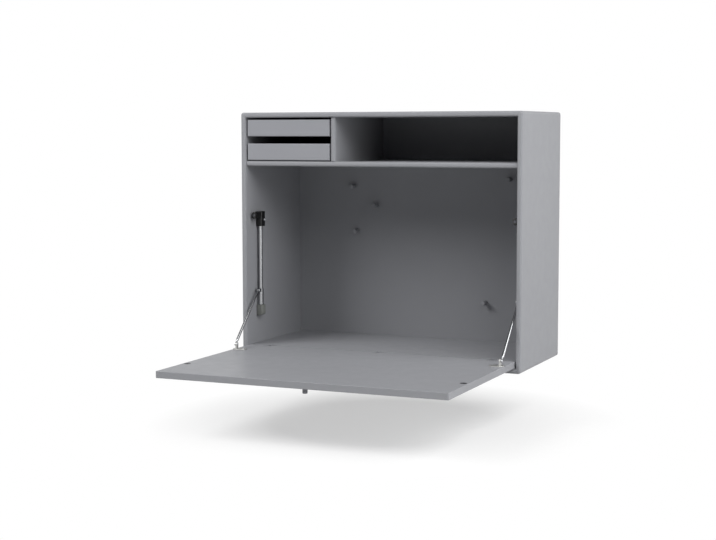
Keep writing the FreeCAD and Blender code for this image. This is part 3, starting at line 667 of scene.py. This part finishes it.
class DESK_OT_sliders(bpy.types.Operator):
    """Make the stays' sliders, with their liners and rivets"""
    bl_idname = "desk.sliders"
    bl_label = "Stay sliders"

    def execute(self, context):
        y, z = SLIDER_PIVOT
        # The sleeve ends a hair below the cheeks, so that no two faces lie in one plane
        sleeve = turned(bar(6.8, 39.95, 0.5), at(STAY_X, RAIL_Y, SLIDER_BOTTOM), Z_AXIS, vertices=64)
        cheeks = [cheek(STAY_X + near) for near in (-FORK_HALF_GAP - CHEEK_THICKNESS, FORK_HALF_GAP)]
        bore = turned([(5.8, 0), (5.8, 42)], at(STAY_X, RAIL_Y, SLIDER_BOTTOM - 1), Z_AXIS, vertices=64)
        pins = turned([(PIN_HOLE_RADIUS, 0), (PIN_HOLE_RADIUS, 12)], at(STAY_X - 6, y, z), X_AXIS)
        slider = carved(united(sleeve, *cheeks), bore, pins)
        liner = turned(bar(5.8, 38, 0.2), at(STAY_X, RAIL_Y, SLIDER_BOTTOM + 1), Z_AXIS)
        rail_bore = turned([(5.05, 0), (5.05, 42)], at(STAY_X, RAIL_Y, SLIDER_BOTTOM - 1), Z_AXIS)
        liner = carved(liner, rail_bore)
        rivet_profile = [(1.8, 0), (1.8, 1.6), (3.0, 1.6), (2.9, 2.0), (2.6, 2.35), (2.1, 2.6)]
        outer = turned(rivet_profile, at(STAY_X + FORK_HALF_GAP, y, z), X_AXIS, vertices=32)
        inner = turned(rivet_profile, at(STAY_X - FORK_HALF_GAP, y, z), -X_AXIS, vertices=32)
        rivets = joined([outer, inner])
        for side in ("left", "right"):
            group = (slider, liner, rivets)
            if side == "left":
                group = [copied(piece, mirror=True) for piece in group]
            body = f"{side}_slider"
            fit(group[0], f"{side}_fork_slider", body, "bright_chrome", f"{side}_stay_slider")
            fit(group[1], f"{side}_liner", body, "nylon", f"{side}_slider_bush")
            fit(group[2], f"{side}_rivets", body, "zinc_plated_steel", f"{side}_slider_rivets")
        return {"FINISHED"}


def pressed(rod, pivot, inward, rings):
    """Presses a rod flat near its end; each ring's half thickness is given by its reach in mm."""
    edit(rod, "VERT")
    for reach, share in rings.items():
        pick(rod, lambda vert: abs((vert.co - pivot).dot(inward) - reach * MM) < 0.1 * MM, "verts")
        bpy.ops.transform.resize(value=(share, 1, 1), center_override=pivot)
    leave_edit()
    return rod


class DESK_OT_arms(bpy.types.Operator):
    """Make the stays' tapered arms, pressed flat to an eye at each end"""
    bl_idname = "desk.arms"
    bl_label = "Stay arms"

    def execute(self, context):
        low = at(STAY_X, *ANCHOR_PIVOT)
        high = at(STAY_X, *SLIDER_PIVOT)
        along = (high - low).normalized()
        length = (high - low).length / MM
        steps = [(2.3, 2.4), (2.7, 5.0), (2.8, 7.6), (3.1, 9.6), (3.35, 11.5), (3.3, 14.0),
                 (2.7, 98.0), (2.7, length - 9.0), (2.6, length - 6.5), (2.3, length - 3.0)]
        rod = turned(steps, low, along, vertices=40)
        rod = pressed(rod, low, along, {2.4: 0.56, 5.0: 0.48, 7.6: 0.47, 9.6: 0.76, 11.5: 0.96})
        rod = pressed(rod, high, -along, {3.0: 0.98, 6.5: 0.94, 9.0: 0.98})
        for pivot, thickness in ((low, LOWER_EYE_THICKNESS), (high, UPPER_EYE_THICKNESS)):
            eye_profile = [(3.9, 0), (EYE_RADIUS, 0.3), (EYE_RADIUS, thickness - 0.3),
                           (3.9, thickness)]
            eye = turned(eye_profile, pivot - X_AXIS * thickness / 2 * MM, X_AXIS)
            hole = turned([(PIN_HOLE_RADIUS, 0), (PIN_HOLE_RADIUS, 8)], pivot - X_AXIS * 4 * MM,
                          X_AXIS)
            rod = carved(united(rod, eye), hole)
        twin = copied(rod, mirror=True)
        fit(rod, "right_arm_rod", "right_arm", "bright_chrome", "right_stay_arm")
        fit(twin, "left_arm_rod", "left_arm", "bright_chrome", "left_stay_arm")
        return {"FINISHED"}


class DESK_OT_anchors(bpy.types.Operator):
    """Cast the anchors that join the arms to the flap, with their pins"""
    bl_idname = "desk.anchors"
    bl_label = "Stay anchors"

    def execute(self, context):
        y, z = ANCHOR_PIVOT
        face = FLAP_FACE

        def at_head(edge):
            return edge_runs(edge, X_AXIS) and edge_middle(edge).z > at(0, 0, z).z

        plate = box_at((300, y - 13, face), (333.2, y + 13, face + 2), arris=0.4 * MM,
                       rounding=12.7 * MM, rounded=lambda edge: edge_runs(edge, Z_AXIS))
        post = box_at((ANCHOR_POST_X, y - EYE_RADIUS, face + 1),
                      (ANCHOR_POST_X + 4, y + EYE_RADIUS, z + EYE_RADIUS),
                      arris=0.4 * MM, rounding=NOSE_ROUNDING * MM, rounded=at_head)
        spigot = turned(bar(4.0, 9, 0.4), at(ANCHOR_POST_X + 2, y, face + 1), -Z_AXIS)
        pin_hole = turned([(PIN_HOLE_RADIUS, 0), (PIN_HOLE_RADIUS, 8)], at(320, y, z), X_AXIS)
        screw_hole = screw_seat(at(ANCHOR_SCREW_X, y, face + 2), -Z_AXIS, *ANCHOR_SCREW[:2])
        anchor = carved(united(plate, post, spigot), pin_hole, screw_hole)
        pin_profile = [(2.1, -1.0), (2.6, -0.75), (2.9, -0.4), (3.0, 0), (1.8, 0), (1.8, 6.65),
                       (3.0, 6.65), (2.9, 7.05), (2.6, 7.4), (2.1, 7.65)]
        pin = turned(pin_profile, at(ANCHOR_POST_X, y, z), X_AXIS, vertices=32)
        for side in ("left", "right"):
            group = (anchor, pin)
            if side == "left":
                group = [copied(piece, mirror=True) for piece in group]
            fit(group[0], f"{side}_anchor", "flap", "nickel_plated_zinc", f"{side}_stay_anchor")
            fit(group[1], f"{side}_pin", "flap", "zinc_plated_steel", f"{side}_anchor_pin")
        return {"FINISHED"}


def cross_recess(centre, direction, reach, depth):
    """The tapered cross that a driver leaves in a screw's head, as a cutting tool."""
    axis = Vector(direction).normalized()
    side = axis.orthogonal().normalized()
    bars = []
    for along in (side, axis.cross(side)):
        across = axis.cross(along)
        size = [2 * (abs(a) * reach + abs(b) * reach * 0.24 + abs(c) * depth)
                for a, b, c in zip(along, across, axis)]
        deselect()
        bpy.ops.mesh.primitive_cube_add(size=1, location=centre, scale=size)
        piece = settle(bpy.context.object)
        edit(piece)
        pick(piece, lambda face: face.normal.dot(axis) > 0.9)
        bpy.ops.transform.resize(value=(0.62, 0.62, 0.62), center_override=centre + axis * depth)
        leave_edit()
        bars.append(piece)
    return united(*bars)


def screw(profile, point, direction, head_radius):
    """A screw from its tip to its head, drawn along the direction it is driven, with its cross."""
    model = turned(profile, point, -Vector(direction), vertices=36)
    top = profile[-1][1] * MM
    depth = min(bpy.context.scene.desk_sizes.recess_depth, head_radius * 0.4 * MM)
    centre = point - Vector(direction) * top
    return carved(model, cross_recess(centre, direction, head_radius * 0.62 * MM, depth))


def screw_seat(point, direction, radius, head_radius):
    """The countersunk hole for a screw, as a cutting tool."""
    neck = head_radius - radius
    profile = [(radius + 0.05, -14), (radius + 0.05, -neck), (head_radius + 0.05, 0),
               (head_radius + 0.05, 0.5)]
    return turned(profile, point, -Vector(direction), vertices=36)


def countersunk(radius, head_radius, length):
    neck = head_radius - radius
    return [(radius * 0.25, -length), (radius, -length + 2 * radius), (radius, -neck),
            (head_radius - 0.08, -0.08), (head_radius - 0.2, 0)]


def pan_head(radius, head_radius, length):
    return [(radius * 0.25, -length), (radius, -length + 2 * radius), (radius, 0),
            (head_radius, 0), (head_radius, 0.9), (head_radius * 0.95, 1.35),
            (head_radius * 0.85, 1.7), (head_radius * 0.68, 1.92), (head_radius * 0.45, 2.0)]


def screw_row(name, node, body, model, first, places):
    """Copies of one screw at places in mm, the model standing at the first."""
    screws = [model]
    for place in places:
        screws.append(copied(model, at(*place) - at(*first)))
    for number, piece in enumerate(screws, 1):
        fit(piece, f"{name}_{number}", body, "zinc_plated_steel", node)


class DESK_OT_screws(bpy.types.Operator):
    """Drive the screws of the stays, the anchors, the hinges, the runners and the back"""
    bl_idname = "desk.screws"
    bl_label = "Screws"

    def execute(self, context):
        self.stay_screws()
        self.leaf_screws()
        self.runner_screws()
        self.back_screws()
        return {"FINISHED"}

    def stay_screws(self):
        bracket = screw(pan_head(*BRACKET_SCREW), at(HOLDER_FACE, *BRACKET_SCREW_PLACE), X_AXIS,
                        BRACKET_SCREW[1])
        seat = at(ANCHOR_SCREW_X, ANCHOR_PIVOT[0], FLAP_FACE + 2)
        anchor = screw(countersunk(*ANCHOR_SCREW), seat, -Z_AXIS, ANCHOR_SCREW[1])
        for name, model, body in (("stay_screw", bracket, "cabinet"),
                                  ("anchor_screw", anchor, "flap")):
            for number, piece in enumerate([model, copied(model, mirror=True)], 1):
                fit(piece, f"{name}_{number}", body, "zinc_plated_steel", name + "s")

    def leaf_screws(self):
        offsets = [centre + side * LEAF_SCREW_OFFSET for centre in HINGE_PLACES for side in (-1, 1)]
        for name, body, y, z in (("floor_leaf_screw", "cabinet", FLOOR_LEAF_SCREW_Y, FLOOR_FACE),
                                 ("flap_leaf_screw", "flap", FLAP_LEAF_SCREW_Y, FLAP_FACE)):
            first = (offsets[0], y, z)
            model = screw(countersunk(*LEAF_SCREW), at(*first), -Z_AXIS, LEAF_SCREW[1])
            places = [(x, y, z) for x in offsets[1:]]
            screw_row(name, name + "s", body, model, first, places)

    def runner_screws(self):
        places = [(y, z) for z in (489.5, 545.5) for y in (52, 202)]
        for wall, x, direction in (("side", -329.5, -X_AXIS), ("divider", -122.5, X_AXIS)):
            first = (x, *places[0])
            model = screw(countersunk(*RUNNER_SCREW), at(*first), direction, RUNNER_SCREW[1])
            screw_row(f"{wall}_runner_screw", "runner_screws", "cabinet", model, first,
                      [(x, *place) for place in places[1:]])

    def back_screws(self):
        places = [(x, 300, z) for z in (60, 291, 522) for x in (-339, 339)]
        places += [(x, 300, z) for x in (-288, 0, 288) for z in (9, 573)]
        model = screw(countersunk(*BACK_SCREW), at(*places[0]), -Y_AXIS, BACK_SCREW[1])
        screw_row("back_screw", "back_screws", "cabinet", model, places[0], places[1:])


def knuckle(x, width):
    return turned(bar(5.0, width, 0.25), at(x, *HINGE_AXIS), X_AXIS)


def pin_bore(centre):
    return turned([(1.55, 0), (1.55, 24)], at(centre - 12, *HINGE_AXIS), X_AXIS, vertices=24)


def leaf_seats(centre, y, z):
    """Countersinks for a leaf's two screws, as cutting tools."""
    return [screw_seat(at(centre + side * LEAF_SCREW_OFFSET, y, z), -Z_AXIS, *LEAF_SCREW[:2])
            for side in (-1, 1)]


class DESK_OT_hinges(bpy.types.Operator):
    """Make the three sunk hinges and their pins"""
    bl_idname = "desk.hinges"
    bl_label = "Hinges"

    def execute(self, context):
        start = HINGE_PLACES[0]
        arris = 0.3 * MM
        pin_model = turned(bar(1.5, 20, 0.2), at(start - 10, *HINGE_AXIS), X_AXIS, vertices=24)
        models = {
            "floor_leaf": (self.floor_leaf(start, arris), "cabinet", "hinge_metal",
                           "hinge_floor_leaves"),
            "flap_leaf": (self.flap_leaf(start, arris), "flap", "hinge_metal",
                          "hinge_flap_leaves"),
            "hinge_pin": (pin_model, "flap", "zinc_plated_steel", "hinge_pins"),
        }
        for name, (model, body, slot, node) in models.items():
            pieces = [model] + [
                copied(model, X_AXIS * (place - start) * MM) for place in HINGE_PLACES[1:]]
            for number, piece in enumerate(pieces, 1):
                fit(piece, f"{name}_{number}", body, slot, node)
        return {"FINISHED"}

    def floor_leaf(self, x, arris):
        plate = box_at((x - 10, 20.4, 24.5), (x + 10, 33, FLOOR_FACE), arris=arris)
        upright = box_at((x - 9.95, 20.4, 17.8), (x + 9.95, 22.9, 26.6), arris=arris)
        web = box_at((x - 3.45, 12.5, 17.85), (x + 3.45, 21.4, 21.8), arris=arris)
        leaf = united(plate, upright, web, knuckle(x - 3.5, 7))
        return carved(leaf, pin_bore(x), *leaf_seats(x, FLOOR_LEAF_SCREW_Y, FLOOR_FACE))

    def flap_leaf(self, x, arris):
        plate = box_at((x - 10, -3, 24.8), (x + 10, 7.2, FLAP_FACE), arris=arris)
        parts = []
        for near in (x - 10, x + 3.7):
            parts.append(box_at((near + 0.05, 6.6, 19.8), (near + 6.25, 12.5, FLAP_FACE - 0.05),
                                arris=arris))
            parts.append(knuckle(near, 6.3))
        leaf = united(plate, *parts)
        return carved(leaf, pin_bore(x), *leaf_seats(x, FLAP_LEAF_SCREW_Y, FLAP_FACE))


# Studio

def lamp(name, place, target, size, power):
    deselect()
    bpy.ops.object.light_add(type="AREA", location=place)
    light = bpy.context.object
    light.name = name
    light.rotation_euler = (Vector(target) - Vector(place)).to_track_quat("-Z", "Y").to_euler()
    light.data.shape = "RECTANGLE"
    light.data.size, light.data.size_y = size
    light.data.energy = power


def seen_by_eye(tree, mirrored=1.0):
    """1 for rays from the camera, a given value by way of a mirror or glass, and 0 for the
    light that falls on the object."""
    path = add(tree, "ShaderNodeLightPath")
    bent = add(tree, "ShaderNodeMath", {0: path.outputs["Is Glossy Ray"],
                                        1: path.outputs["Is Transmission Ray"]}, operation="MAXIMUM")
    bent = add(tree, "ShaderNodeMath", {0: bent.outputs[0], 1: mirrored}, operation="MULTIPLY")
    return add(tree, "ShaderNodeMath", {0: path.outputs["Is Camera Ray"], 1: bent.outputs[0]},
               operation="MAXIMUM").outputs[0]


class DESK_OT_stage(bpy.types.Operator):
    """Set up the white studio, its soft lamps and the camera"""
    bl_idname = "desk.stage"
    bl_label = "Studio"

    def execute(self, context):
        self.world(context)
        self.floor(context)
        target = at(0, 0, 250)
        for name, (place, power) in SOFTBOXES.items():
            lamp(name, place, target, SOFTBOX_SIZE, power)
        self.camera(context)
        context.scene.view_settings.view_transform = "Standard"
        return {"FINISHED"}

    def world(self, context):
        world = bpy.data.worlds.new("white_studio")
        context.scene.world = world
        world.use_nodes = True
        tree = world.node_tree
        tree.nodes.clear()
        # The studio is white all round, with a grey ceiling that shows only in polished metal
        upward = add(tree, "ShaderNodeSeparateXYZ",
                     {"Vector": add(tree, "ShaderNodeTexCoord").outputs["Generated"]})
        ceiling = add(tree, "ShaderNodeMapRange",
                      {"Value": upward.outputs["Z"], "From Min": 0.3, "From Max": 0.8,
                       "To Min": 1.0, "To Max": 0.2})
        sky = add(tree, "ShaderNodeBackground",
                  {"Color": (1, 1, 1, 1), "Strength": seen_by_eye(tree, ceiling.outputs["Result"])})
        add(tree, "ShaderNodeOutputWorld", {"Surface": sky.outputs[0]})

    def floor(self, context):
        level = at(0, 0, 0).z - context.scene.desk_sizes.floor_drop
        deselect()
        bpy.ops.mesh.primitive_plane_add(size=FLOOR_SIZE, location=(0, 0, level))
        floor = settle(context.object)
        floor.name = "studio_floor"
        material, tree = new_material("white_studio_floor")
        colour = tuple(context.scene.desk_colours.floor) + (1,)
        # The floor looks white, and throws back two thirds of the light that falls on it
        path = add(tree, "ShaderNodeLightPath")
        pale = add(tree, "ShaderNodeMix", {"Factor": path.outputs["Is Camera Ray"],
                                           "A": tuple(c * FLOOR_RETURN for c in colour[:3]) + (1,),
                                           "B": colour}, data_type="RGBA")
        matt = add(tree, "ShaderNodeBsdfDiffuse", {"Color": pale.outputs["Result"]})
        # White emission seen by the eye and in mirrors only, which paints light into the floor's shadow
        shadow_lightening_glow = add(tree, "ShaderNodeEmission", {"Color": colour, "Strength": 1.0})
        # Near the desk about half of what the eye sees of the floor is a painted glow that lightens the
        # desk's cast shadow; far from the desk the floor is all glow, as white as the studio behind it
        place = add(tree, "ShaderNodeTexCoord").outputs["Object"]
        centred = add(tree, "ShaderNodeMapping", {"Vector": place, "Location": (-0.04, 0.33, -level)})
        length = add(tree, "ShaderNodeVectorMath", {0: centred.outputs["Vector"]}, operation="LENGTH")
        glow_share = add(tree, "ShaderNodeMapRange",
                  {"Value": length.outputs["Value"], "From Min": 0.26, "From Max": 0.55,
                   "To Min": 0.52, "To Max": 1.0})
        seen = add(tree, "ShaderNodeMath", {0: seen_by_eye(tree), 1: glow_share.outputs["Result"]},
                   operation="MULTIPLY")
        surface = add(tree, "ShaderNodeMixShader",
                      {0: seen.outputs[0], 1: matt.outputs[0], 2: shadow_lightening_glow.outputs[0]})
        add(tree, "ShaderNodeOutputMaterial", {"Surface": surface.outputs[0]})
        floor.data.materials.append(material)

    def camera(self, context):
        turn = [math.radians(angle) for angle in CAMERA_TURN]
        deselect()
        bpy.ops.object.camera_add(location=CAMERA_PLACE, rotation=turn)
        camera = context.object
        camera.data.sensor_fit = "HORIZONTAL"
        camera.data.sensor_width = 36
        camera.data.lens = context.scene.desk_sizes.lens
        camera.data.clip_end = 100
        context.scene.camera = camera


class DESK_PT_panel(bpy.types.Panel):
    """The desk's pieces, in the order they are made"""
    bl_idname = "DESK_PT_panel"
    bl_label = "Wall desk"
    bl_space_type = "VIEW_3D"
    bl_region_type = "UI"
    bl_category = "Wall desk"

    def draw(self, context):
        layout = self.layout
        for group in (context.scene.desk_colours, context.scene.desk_sizes):
            for name in group.__annotations__:
                layout.prop(group, name)
        for operator in OPERATORS:
            layout.operator(operator.bl_idname)


OPERATORS = (
    DESK_OT_stage, DESK_OT_boards, DESK_OT_trays, DESK_OT_inner_fixings, DESK_OT_pegs,
    DESK_OT_knob, DESK_OT_strike_discs, DESK_OT_rails, DESK_OT_brackets, DESK_OT_feet,
    DESK_OT_sliders, DESK_OT_arms, DESK_OT_anchors, DESK_OT_hinges, DESK_OT_screws,
)
GROUPS = (DeskColours, DeskSizes)


def register():
    for kind in (*GROUPS, *OPERATORS, DESK_PT_panel):
        bpy.utils.register_class(kind)
    bpy.types.Scene.desk_colours = bpy.props.PointerProperty(type=DeskColours)
    bpy.types.Scene.desk_sizes = bpy.props.PointerProperty(type=DeskSizes)


def unregister():
    del bpy.types.Scene.desk_colours
    del bpy.types.Scene.desk_sizes
    for kind in reversed((*GROUPS, *OPERATORS, DESK_PT_panel)):
        bpy.utils.unregister_class(kind)


def main():
    register()
    for operator in OPERATORS:
        group, name = operator.bl_idname.split(".")
        getattr(getattr(bpy.ops, group), name)()


if __name__ == "__main__":
    main()
